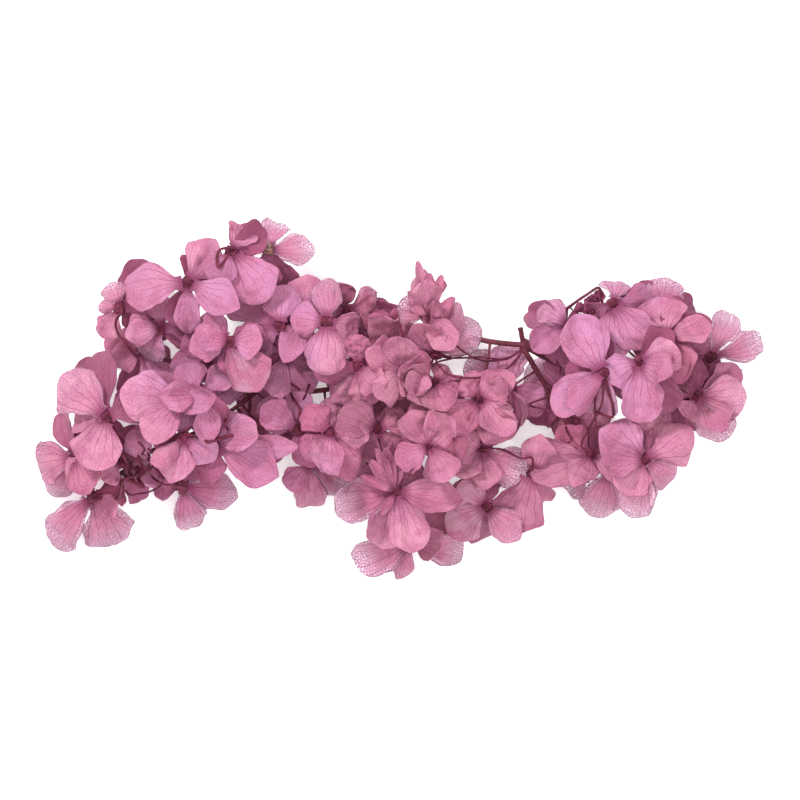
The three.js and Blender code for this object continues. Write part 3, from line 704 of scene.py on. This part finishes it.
class Nodes:
    """Short ways to add and join the nodes of one material."""

    def __init__(self, name):
        self.material = bpy.data.materials.new(name)
        self.material.use_nodes = True
        self.tree = self.material.node_tree
        self.tree.nodes.clear()
        self.out = self.tree.nodes.new("ShaderNodeOutputMaterial")

    def node(self, kind, inputs=None, **settings):
        made = self.tree.nodes.new("ShaderNode" + kind)
        for key, value in settings.items():
            setattr(made, key, value)
        for key, value in (inputs or {}).items():
            self.put(value, made.inputs[key])
        return made

    def put(self, value, socket):
        if isinstance(value, bpy.types.NodeSocket):
            self.tree.links.new(value, socket)
        else:
            socket.default_value = value

    def math(self, operation, a, b=0.0):
        made = self.tree.nodes.new("ShaderNodeMath")
        made.operation = operation
        self.put(a, made.inputs[0])
        self.put(b, made.inputs[1])
        return made.outputs[0]

    def times(self, a, b):
        return self.math("MULTIPLY", a, b)

    def plus(self, a, b):
        return self.math("ADD", a, b)

    def minus(self, a, b):
        return self.math("SUBTRACT", a, b)

    def most(self, a, b):
        return self.math("MAXIMUM", a, b)

    def ramp(self, value, low, high, start=0.0, end=1.0):
        """A smooth change from start to end as a value goes from low to high."""
        made = self.node("MapRange", {"Value": value, "From Min": low, "From Max": high, "To Min": start,
                                      "To Max": end}, interpolation_type="SMOOTHSTEP")
        return made.outputs["Result"]

    def mix(self, share, a, b):
        made = self.node("Mix", data_type="RGBA", clamp_factor=True)
        self.put(share, made.inputs[0])
        self.put(a, made.inputs[6])
        self.put(b, made.inputs[7])
        return made.outputs[2]

    def noise(self, place, scale, detail=2.0, rough=0.5):
        inputs = {"Vector": place, "Scale": scale, "Detail": detail, "Roughness": rough}
        return self.node("TexNoise", inputs).outputs["Fac"]

    def net(self, place, scale):
        """How far a place is from the nearest line of a net of cells."""
        made = self.node("TexVoronoi", {"Vector": place, "Scale": scale}, feature="DISTANCE_TO_EDGE",
                         voronoi_dimensions="2D")
        return made.outputs["Distance"]

    def coordinates(self, name):
        return self.node("UVMap", uv_map=name).outputs[0]

    def tint(self):
        """The three values that each piece's points hold for its material."""
        colour = self.node("Attribute", attribute_name="tint").outputs["Color"]
        return self.node("SeparateColor", {"Color": colour}).outputs


def sepal_places(n):
    """Where a point lies on its sepal and what is marked there."""
    real = n.coordinates("real")
    across, along, _ = n.node("SeparateXYZ", {"Vector": n.coordinates("leaf")}).outputs
    fan = n.node("SeparateXYZ", {"Vector": n.coordinates("fan")}).outputs[0]
    # The last value holds how lacy a thin sepal is, or else how dark another one is: painted shade for
    # covered and drooping ones
    tone, grey, last = n.tint()
    side = n.times(n.minus(across, 0.5), 2.0)
    aside = n.math("ABSOLUTE", side)
    return SimpleNamespace(
        real=real,
        along=along,
        side=side,
        aside=aside,
        reach=n.minus(fan, 0.5),
        rim=n.most(n.ramp(aside, 0.95, 1.0), n.ramp(along, 0.975, 1.0)),
        blotch=n.noise(real, 14.0, 2.0, 0.6),
        tone=tone,
        grey=grey,
        last=last,
    )


def strong_veins(n, at):
    """Main veins that fan out from the root, and branches that leave them towards the rim."""
    wander = n.minus(n.noise(at.real, 20.0, 1.0), 0.5)
    ray = n.math("DIVIDE", n.times(at.reach, FAN), n.plus(at.along, 0.15))
    ray = n.plus(n.plus(ray, at.side), n.times(wander, 0.8))
    off_main = n.math("ABSOLUTE", n.minus(n.math("FRACT", n.plus(ray, 0.5)), 0.5))
    spread = n.math("MINIMUM", n.plus(n.times(at.along, 1.5), 0.15), 1.0)
    main = n.ramp(n.times(off_main, spread), 0.0, 0.06, 1.0, 0.0)
    main = n.times(main, n.ramp(at.along, 0.3, 1.0, 1.0, 0.4))
    slant = n.minus(n.times(at.along, BRANCHES), n.times(at.aside, BRANCH_SLANT))
    slant = n.plus(slant, n.times(wander, 2.0))
    off_branch = n.math("ABSOLUTE", n.minus(n.math("FRACT", slant), 0.5))
    branch = n.times(n.ramp(off_branch, 0.0, 0.08, 1.0, 0.0), n.ramp(at.aside, 0.02, 0.2))
    return n.most(main, n.times(branch, 0.55))


def sepal_colour(n, at, veins, dark):
    """Mauve-pink, blotched and speckled, darker at the veins and the rim, with painted shade at the root
    and as much as the dark value gives.
    """
    place = n.node("TexCoord").outputs["Object"]
    from_middle = n.math("ABSOLUTE", n.node("SeparateXYZ", {"Vector": place}).outputs[0])
    drift = n.plus(n.noise(place, 22.0, 0.0), n.ramp(from_middle, 0.015, 0.05, 0.12, -0.05))
    colour = n.mix(n.ramp(drift, 0.4, 0.6), LILAC, PINK)
    colour = n.mix(n.ramp(at.blotch, 0.35, 0.65, 0.1, 0.9), colour, DULL_MAUVE)
    colour = n.mix(at.tone, colour, DEEP_RED)
    greyed = n.times(at.grey, n.ramp(at.blotch, 0.4, 0.6, 0.5, 0.1))
    colour = n.mix(greyed, colour, GREYED)
    # Painted shade: darker towards the root, deep in the floret, and by the dark value, which is painted
    # shade for covered and drooping sepals
    root = n.ramp(at.along, 0.0, 0.3, 0.8, 0.0)
    colour = n.mix(n.most(root, dark), colour, MAROON)
    colour = n.mix(n.times(veins, 0.8), colour, MAROON)
    speckle = n.ramp(n.noise(at.real, 260.0, 0.0), 0.58, 0.72, 0.0, 0.5)
    specks = n.times(speckle, n.ramp(at.blotch, 0.4, 0.65, 0.15, 1.0))
    colour = n.mix(specks, colour, MAROON)
    return n.mix(n.times(at.rim, 0.3), colour, MAROON)


def lace(n, at, strong, wide, colour):
    """How clear thin tissue is, but for its veins, root and middle, and its paler colour."""
    outer = n.most(n.ramp(at.along, 0.3, 1.0), n.ramp(at.aside, 0.45, 1.05))
    outer = n.times(outer, at.last)
    net = n.ramp(wide, 0.0, 0.14, 1.0, 0.0)
    closed = n.most(n.most(strong, net), n.times(at.rim, 0.6))
    clear = n.times(outer, n.minus(1.0, closed))
    colour = n.mix(n.times(clear, 0.8), colour, PALE)
    colour = n.mix(n.times(n.times(outer, closed), 0.95), colour, NET_VEIN)
    return clear, colour


def sepal_material(name, thin):
    """Dry, matt dyed tissue with veins and a fine net. A thin one is clear between them."""
    n = Nodes(name)
    at = sepal_places(n)
    strong = strong_veins(n, at)
    wide = n.net(at.real, THIN_NET_CELLS if thin else NET_CELLS)
    wide_net = n.times(n.ramp(wide, 0.0, 0.08, 1.0, 0.0), 0.42)
    fine_net = n.times(n.ramp(n.net(at.real, FINE_NET_CELLS), 0.0, 0.16, 1.0, 0.0), 0.36)
    veins = n.most(strong, n.most(wide_net, fine_net))
    colour = sepal_colour(n, at, veins, 0.0 if thin else at.last)
    if thin:
        clear, colour = lace(n, at, strong, wide, colour)
    grain = n.noise(at.real, 95.0, 2.0, 0.6)
    bump = n.node("Bump", {"Height": grain, "Strength": 0.6, "Distance": 0.0004}).outputs[0]
    body = n.node("BsdfPrincipled", {"Base Color": colour, "Roughness": 0.78, "Normal": bump,
                                     "Specular IOR Level": 0.22, "Sheen Weight": 0.08})
    glow = n.node("BsdfTranslucent", {"Color": colour, "Normal": bump})
    surface = n.node("MixShader", {0: 0.25, 1: body.outputs[0], 2: glow.outputs[0]}).outputs[0]
    if thin:
        hole = n.node("BsdfTransparent", {"Color": CLEAR_TINT})
        share = n.times(clear, n.ramp(at.blotch, 0.35, 0.6, 0.5, 0.72))
        surface = n.node("MixShader", {0: share, 1: surface, 2: hole.outputs[0]}).outputs[0]
    n.put(surface, n.out.inputs["Surface"])
    return n.material


def bark_material(name, dark, light, scale):
    """Dyed stem skin: fine lengthwise ribs, blotches and a dull surface."""
    n = Nodes(name)
    real = n.coordinates("real")
    place = n.node("TexCoord").outputs["Object"]
    stretched = n.node("Mapping", {"Vector": real, "Scale": (14.0, 1.0, 1.0)}).outputs[0]
    rib = n.noise(stretched, scale, 3.0, 0.6)
    blotch = n.noise(place, 240.0, 3.0, 0.6)
    colour = n.mix(n.ramp(blotch, 0.35, 0.7), dark, light)
    colour = n.mix(n.ramp(rib, 0.5, 0.72, 0.0, 0.55), colour, RIB_DARK)
    colour = n.mix(n.tint()[0], colour, CREAM)
    bump = n.node("Bump", {"Height": rib, "Strength": 0.5, "Distance": 0.0002}).outputs[0]
    body = n.node("BsdfPrincipled", {"Base Color": colour, "Roughness": 0.62, "Normal": bump,
                                     "Specular IOR Level": 0.3})
    n.put(body.outputs[0], n.out.inputs["Surface"])
    return n.material


def floor_material():
    """White paper that glows a little, so that the shadow on it stays pale."""
    n = Nodes("pale_ground")
    place = n.node("TexCoord").outputs["Object"]
    tone = n.ramp(n.noise(place, 3.0, 2.0), 0.3, 0.7)
    colour = n.mix(tone, (0.95, 0.95, 0.95, 1), (0.965, 0.965, 0.965, 1))
    body = n.node("BsdfPrincipled", {"Base Color": colour, "Roughness": 0.9, "Specular IOR Level": 0.1,
                                     "Emission Color": (1, 1, 1, 1), "Emission Strength": 0.33})
    n.put(body.outputs[0], n.out.inputs["Surface"])
    return n.material


SEPAL = sepal_material("sepal_tissue", False)
LACE = sepal_material("sepal_lace", True)
HEART = bark_material("heart_skin", (0.09, 0.008, 0.025, 1), (0.22, 0.035, 0.08, 1), 300.0)
BARK = bark_material("stem_skin", (0.085, 0.01, 0.022, 1), (0.17, 0.03, 0.055, 1), 160.0)
STALK = bark_material("stalk_skin", (0.085, 0.007, 0.022, 1), (0.18, 0.02, 0.055, 1), 220.0)

# Florets, read from their solids
florets = {}
for node in sorted(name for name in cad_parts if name.startswith("floret_")):
    points, faces = points_and_faces(node)
    low, high, sepals = sepals_in(points, faces)
    florets[node] = {
        "hub": (low + high) / 2,
        "forms": [sepal_form(corners) for corners in sepals],
        "solid": points[np.array(faces)],
    }


def smooth_route(points, pieces):
    """Points along a smooth curve through some points."""
    points = np.array(points, float)
    steps = np.maximum(norm(np.diff(points, axis=0), axis=1), TINY)
    knots = np.concatenate(((0,), np.cumsum(steps)))
    knots /= knots[-1]
    return [spline(knots, points, t) for t in np.linspace(0, 1, pieces + 1)]


# Stems, as fine round ones with thicker joints
shift = np.array((*SHIFT, 0))
stems = Builder()
centreline = []
for number, (thickness, points) in enumerate(STEMS):
    route = smooth_route([np.array(point) + shift for point in points], STEM_PIECES * len(points))
    centreline.extend(route)
    span = len(route) - 1
    radii = []
    for i in range(len(route)):
        knob = JOINT_SWELL * exp(-(min(i, span - i) / JOINT_REACH) ** 2)
        uneven = STEM_UNEVEN * noise.noise(Vector((number * 5.1, i / span * 9, 2)))
        radii.append(thickness / 2 * (1 + knob + uneven))
    stems.tube(route, radii, STEM_SIDES, 0, number * 7.3, STEM_ROUGH)
piece = stems.object("stem_bark", [BARK])
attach(piece, "root")
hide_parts("stem")
centreline = np.array(centreline)

# Stalks, along the ones in the solid: ring by ring from the end by each hub back to the stems
stem_points, stem_faces = points_and_faces("stem")
joined = [set() for _ in stem_points]
for a, b, c in stem_faces:
    joined[a] |= {b, c}
    joined[b] |= {a, c}
    joined[c] |= {a, b}


def stalk_route(hub, up):
    """The points of the stalk that comes to a hub from below or above, if there is one."""
    end = lifted(hub, -up * (HUB_HEIGHT / 2 + STALK_GAP))
    reach = STALK_RADIUS * RING_REACH
    ring = {int(i) for i in np.nonzero(norm(stem_points - end, axis=1) < reach)[0]}
    if len(ring) < STALK_SIDES - 1:
        return None
    seen, route = set(ring), [end]
    while len(ring) in (STALK_SIDES, STALK_SIDES + 1) and len(route) < MOST_RINGS:
        ring = {j for i in ring for j in joined[i]} - seen
        seen |= ring
        if len(ring) == STALK_SIDES:
            route.append(stem_points[list(ring)].mean(axis=0))
    foot = centreline[np.argmin(norm(centreline - route[-1], axis=1))]
    return [hub, *route, foot]


stalks = Builder()
for number, floret in enumerate(florets.values(), 1):
    floret["up"] = 1 if stalk_route(floret["hub"], 1) else -1
    points = stalk_route(floret["hub"], floret["up"])
    if points is None:
        continue
    route = smooth_route(points, STALK_PIECES)
    radii = []
    for i in range(STALK_PIECES + 1):
        at_hub = STALK_AT_HUB * exp(-i / HUB_REACH)
        at_foot = STALK_AT_FOOT * exp((i - STALK_PIECES) / FOOT_REACH)
        radii.append(STALK_MIDDLE + at_hub + at_foot)
    stalks.tube(route, radii, STALK_ROUND, 0, number * 3.1, STALK_ROUGH)

hubs = np.array([floret["hub"] for floret in florets.values()])
solid_points = np.concatenate([floret["solid"].reshape(-1, 3) for floret in florets.values()])
carriers = np.vstack((centreline, hubs))


def top_near(place, radius):
    """The height at which a thin stalk passes over the sepals round a place."""
    near = solid_points[norm(solid_points[:, :2] - place, axis=1) < LOOK_ROUND]
    return near[:, 2].max() + 2 * radius if len(near) else 0.0


def carrier_near(place, top):
    """The hub or place on a stem that an end of a thin stalk grows from."""
    drop = np.maximum(top - carriers[:, 2], 0)
    return carriers[np.argmin(norm(carriers[:, :2] - place, axis=1) + DROP_COST * drop)]


def pedicel_route(plan, radius):
    """A thin stalk's way over what lies beneath it, from and to a hub or a stem."""
    tops = [top_near(place, radius) for place in plan]
    first, last = carrier_near(plan[0], tops[0]), carrier_near(plan[-1], tops[-1])
    route = []
    for i, (place, top) in enumerate(zip(plan, tops)):
        share = i / (len(plan) - 1)
        straight = first[2] * (1 - share) + last[2] * share
        climb = CLIMB * (END_CLIMB + (1 - END_CLIMB) * sin(pi * share))
        route.append(np.array((*place, max(straight, min(top, straight + climb)))))
    if norm(first - route[0]) > radius:
        route.insert(0, first)
    if norm(last - route[-1]) > radius:
        route.append(last)
    return smooth_route(route, PEDICEL_PIECES)


for number, (radius, pixels) in enumerate(PEDICELS):
    route = pedicel_route([photo_point(*pixel) for pixel in pixels], radius)
    from_end = [min(i, PEDICEL_PIECES - i) for i in range(PEDICEL_PIECES + 1)]
    radii = [radius * (1 + PEDICEL_SWELL * exp(-i / FOOT_REACH)) for i in from_end]
    stalks.tube(route, radii, PEDICEL_ROUND, 0, number * 2.3, PEDICEL_ROUGH)
piece = stalks.object("stalks", [STALK])
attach(piece, "root")
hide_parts("stem")


def spread_by(grid, reach):
    """A grid in which each marked cell also marks those within reach."""
    wider = grid.copy()
    for x in range(-reach, reach + 1):
        for y in range(-reach, reach + 1):
            if x * x + y * y <= reach * reach:
                wider |= np.roll(grid, (x, y), axis=(0, 1))
    return wider


def cell_of(spots):
    """The cells of the plan's grid that some points lie in."""
    return tuple((np.round(np.asarray(spots)[..., :2] / CELL).astype(int) + GRID_MIDDLE).T)


def cover_in_plan(spots):
    """The cells that some points cover, with narrow gaps filled, and each cell's highest point."""
    highest = np.full(GRID, -1.0)
    np.maximum.at(highest, cell_of(spots), spots[:, 2])
    grid = ~spread_by(~spread_by(highest >= 0, CLOSE), CLOSE)
    for spot in OPEN_SPOTS:
        hole = np.zeros(GRID, bool)
        hole[cell_of(photo_point(*spot))] = True
        grid &= ~spread_by(hole, OPENING)
    return grid, highest


def spots_on(triangles, steps):
    """Points spread over some triangles."""
    places = [(i, j, steps - i - j) for i in range(steps + 1) for j in range(steps + 1 - i)]
    return np.einsum("sk,tkx->tsx", np.array(places) / steps, triangles).reshape(-1, 3)


every_triangle = np.concatenate([floret["solid"] for floret in florets.values()])
cover, highest = cover_in_plan(spots_on(every_triangle, COVER_STEPS))
surface = spots_on(every_triangle, ROOM_STEPS)
nearest = KDTree(len(surface))
for i, spot in enumerate(surface):
    nearest.insert(spot, i)
nearest.balance()


def has_room(rows):
    """Whether a sheet lies where the spray covers the plan, and clear of other sepals."""
    spots = np.array([cell[0] for row in rows for cell in row])
    if cover[cell_of(spots)].mean() < COVERED:
        return False
    outer = spots[len(spots) // 3:]
    return np.mean([nearest.find(spot)[2] > ASIDE for spot in outer]) >= COVERED


def hidden_share(form):
    """How much of a sepal's middle line has other sepals over it."""
    line = np.array([spline(ROW_SHARES, form.spine, t) for t in SHADE_SPOTS])
    return np.mean(highest[cell_of(line)] > line[:, 2] + ABOVE)


def is_at_edge(form):
    """Whether a sepal's tip lies at the outline of the spray."""
    x, y = cell_of(form.spine[-1])
    return cover[x - EDGE:x + EDGE + 1, y - EDGE:y + EDGE + 1].mean() < EDGE_COVER


def inner_form(hub, turn, length, half, rise, fold=0.25):
    """A small folded sepal's form: it leaves a hub at an angle in the plan and bends down or up."""
    way = np.array((cos(turn), sin(turn), 0.0))
    aside = np.array((sin(turn), -cos(turn), 0.0)) * half
    spine = []
    for t in ROW_SHARES:
        spine.append(lifted(hub + way * (0.8 + length * t), rise * length * t ** 1.5))
    return SimpleNamespace(
        spine=np.array(spine),
        halves=np.array([aside] * len(ROW_SHARES)),
        folds=np.array([(0, 0, fold * half)] * len(ROW_SHARES)),
        claw=0.6,
        length=length,
        middle=spine[2],
        half=half,
    )


def chosen_by(spots, reach):
    """For each pixel the sepal whose middle lies nearest to it, the upper ones first."""
    chosen = set()
    for spot in spots:
        place = photo_point(*spot)
        best, least = None, reach
        for node, floret in florets.items():
            for k, form in enumerate(floret["forms"]):
                gap = norm(form.middle[:2] - place) - UPPER_FIRST * form.middle[2]
                if gap < least:
                    best, least = (node, k), gap
        chosen.add(best)
    return chosen


def nearest_hub(pixel):
    """The number of the floret whose hub lies nearest to a pixel of the photo."""
    return int(np.argmin(norm(hubs[:, :2] - photo_point(*pixel), axis=1))) + 1


net_sepals = chosen_by(NET_SPOTS, NET_REACH)
grey_sepals = chosen_by(GREY_SPOTS, NET_REACH)
red_sepals = chosen_by(RED_SPOTS, RED_REACH)
cream = nearest_hub(CREAM_SPOT)
wilted = {}
for root, strips in TUFTS:
    wilted.setdefault(nearest_hub(root), []).extend(strips)


def add_sepals(builder, number, node, forms):
    """A floret's own sepals, as fine sheets of the forms in its solid."""
    for k, form in enumerate(forms):
        seed = number * 10 + k
        red = RED if (node, k) in red_sepals else 0.0
        central = min(1, 1.6 * near_any(form.middle, CRUMPLED_SPOTS, CRUMPLED_REACH))
        # Painted shade: the lower a sepal lies in the spray, the deeper its red
        low = min(1, max(0, (LOW_BELOW - form.middle[2]) / LOW_BELOW))
        tone = min(REDDEST, 0.3 * draw(seed + 0.5) + max(red, central * RED) + low * LOW_PAINTED_SHADE)
        lacy = 1.0 if (node, k) in net_sepals else EDGE_LACE if is_at_edge(form) else 0.0
        hidden = hidden_share(form)
        thin = lacy == 1 or lacy > 0 and hidden < EDGE_HIDDEN
        # A thin sepal's last value is how lacy it is; another's is painted shade, by how much other sepals
        # cover it
        last = lacy if thin else PAINTED_SHADE_WHEN_COVERED * hidden
        grey = 1.0 if (node, k) in grey_sepals else 0.0
        crumple = min(1, 0.3 * draw(seed + 0.8) + red * 0.4 + central)
        rows = sepal_mesh(form, seed, crumple, 1.0, lacy == 1)
        builder.sheet(rows, seed, form, (tone, grey, last), LACE_SLOT if thin else SEPAL_SLOT)


def add_inner_sepals(builder, number, hub):
    """Small sepals within, where the spray covers them; those that droop into the hollows are painted
    darker and redder, as shade.
    """
    inward = near_any(hub, CRUMPLED_SPOTS, HUB_CRUMPLED_REACH)
    added = 0
    for k in range(TRIES):
        seed = number * 10 + 5 + k * 0.31
        turn = 2 * pi * (k * 0.382 + 0.2 * draw(seed))
        rising = draw(seed + 0.1) < 0.17 + inward and number != cream
        rise = between(0.4, 1.2, seed + 0.2) if rising else between(-0.15, -0.65, seed + 0.2)
        root = lifted(hub, 0.8 if rising else -1.8)
        length, half = between(8, 13, seed + 0.4), between(3.4, 5.4, seed + 0.3)
        form = inner_form(root, turn, length, half, rise)
        rows = sepal_mesh(form, seed, between(0.4, 0.9, seed + 0.6), INNER_FINE)
        if added < MOST and has_room(rows):
            # Drooping sepals in the hollows get a deeper red and a painted shade
            tone = 0.35 * draw(seed + 0.7) + (0.1 if rising else 0.45)
            dark = 0.0 if rising else between(0.25, 0.6, seed + 0.9)
            builder.sheet(rows, seed, form, (tone, 0, dark))
            added += 1


def add_wilted_sepals(builder, number, hub):
    """The narrow folded sepals of the tufts that grow from a floret's hub."""
    for k, (tip, half, tone) in enumerate(wilted.get(number, ())):
        seed = number * 10 + 3 + k * 0.17
        way = photo_point(*tip) - hub[:2]
        turn, length = atan2(way[1], way[0]), norm(way)
        root = lifted(hub, 1.0)
        form = inner_form(root, turn, length, half, between(0.15, 0.45, seed), WILTED_FOLD)
        rows = sepal_mesh(form, seed, 1.0, INNER_FINE)
        builder.sheet(rows, seed, form, (tone, 0, 0.15 * draw(seed + 0.5)))


def add_heart(builder, number, hub, up):
    """A floret's calyx and disc, and the eye on it with its short stamens."""
    light = CREAM_LIGHT if number == cream else 0.0
    round_it = (light * 0.3, 0, 0)
    builder.ball(lifted(hub, -0.5 * up), CALYX, HEART_SLOT, 0.4, number, 0.5, round_it)
    builder.ball(hub, DISC, HEART_SLOT, 0.8, number, 0.3, round_it)
    face = lifted(hub, EYE * up)
    builder.ball(face, EYE, HEART_SLOT, 0.8, number + 0.5, 0.3, (light, 0, 0))
    for k in range(STAMENS):
        angle = 2 * pi * (k + draw(number + k * 0.1)) / STAMENS
        lean = between(0.7, 1.6, number * 3 + k)
        rise = up * between(0.7, 1.5, k + number)
        tip = face + np.array((cos(angle) * lean, sin(angle) * lean, rise))
        bend = lifted((face + tip) / 2, 0.2 * up)
        builder.tube((face, bend, tip), STAMEN_RADII, STAMEN_SIDES, HEART_SLOT)
        builder.ball(tip, ANTHER, HEART_SLOT, 1.0, k)


for number, (node, floret) in enumerate(florets.items(), 1):
    builder = Builder()
    add_sepals(builder, number, node, floret["forms"])
    add_inner_sepals(builder, number, floret["hub"])
    add_wilted_sepals(builder, number, floret["hub"])
    add_heart(builder, number, floret["hub"], floret["up"])
    piece = builder.object(f"{node}_sepals", [SEPAL, HEART, LACE])
    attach(piece, "root")
    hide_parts(node)

# Small dried buds on the upper twig
buds = Builder()
for number, (x, y, z) in enumerate(BUDS):
    place = np.array((*photo_point(x, y), z))
    foot = centreline[np.argmin(norm(centreline - place, axis=1))]
    route = smooth_route((foot, (foot + place) / 2, place), BUD_PIECES)
    buds.tube(route, [BUD_STALK] * len(route), BUD_ROUND, HEART_SLOT, number, 0.2)
    buds.ball(place, BUD_RADIUS, HEART_SLOT, 1.0, number, 0.5)
    for k in range(BUD_SEPALS):
        seed = 900 + number * 5 + k
        turn = 2 * pi * (k + draw(seed)) / BUD_SEPALS
        form = inner_form(place, turn, between(2.6, 4.2, seed + 0.2), 1.5, 0.9 * draw(seed + 0.4))
        buds.sheet(sepal_mesh(form, seed, 0.9, INNER_FINE), seed, form, (0.8, 0, 0.6))
piece = buds.object("twig_buds", [SEPAL, HEART])
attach(piece, "root")
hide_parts("stem")

# Ground and lights, in metres: each light's place, size and watts
GROUND_HALF = 3
GROUND_DROP = 0.0002
SKY = 0.8
LIGHTS = (
    ("key", (-0.5, 0.6, 1.0), 0.22, 11.2),
    ("fill", (0.6, -0.5, 0.9), 1.0, 5.5),
    ("top", (0, 0, 1.5), 0.6, 6.5),
)

# Camera, in metres over the level that it frames, with its sensor's width in millimetres
CAMERA_DISTANCE = 3.0
CAMERA_LEVEL = 0.02
CAMERA_REACH = 20
SENSOR = 36

corners = [(x * GROUND_HALF, y * GROUND_HALF, 0) for x, y in ((-1, -1), (1, -1), (1, 1), (-1, 1))]
floor_mesh = bpy.data.meshes.new("ground")
floor_mesh.from_pydata(corners, [], [(0, 1, 2, 3)])
floor_mesh.materials.append(floor_material())
ground = bpy.data.objects.new("ground", floor_mesh)
ground.location.z = -GROUND_DROP
scene.collection.objects.link(ground)
ground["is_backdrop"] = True

world = bpy.data.worlds.new("studio")
world.use_nodes = True
world.node_tree.nodes["Background"].inputs[0].default_value = (1, 1, 1, 1)
world.node_tree.nodes["Background"].inputs[1].default_value = SKY
scene.world = world


def soft_light(name, place, size, power):
    """A round area light that points at the spray's middle."""
    light = bpy.data.lights.new(name, "AREA")
    light.shape = "DISK"
    light.size = size
    light.energy = power
    lamp = bpy.data.objects.new(name, light)
    lamp.location = place
    lamp.rotation_euler = (-Vector(place)).to_track_quat("-Z", "Y").to_euler()
    scene.collection.objects.link(lamp)


for light in LIGHTS:
    soft_light(*light)

camera_data = bpy.data.cameras.new("camera")
camera_data.sensor_width = SENSOR
camera_data.lens = SENSOR * CAMERA_DISTANCE / (PHOTO_SIZE * PIXEL * MM)
camera_data.clip_end = CAMERA_REACH
camera = bpy.data.objects.new("camera", camera_data)
middle_x, middle_y = photo_point(PHOTO_SIZE / 2, PHOTO_SIZE / 2) * MM
camera.location = (middle_x, middle_y, CAMERA_LEVEL + CAMERA_DISTANCE)
scene.collection.objects.link(camera)
scene.camera = camera
scene.view_settings.view_transform = "Standard"

low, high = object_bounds()
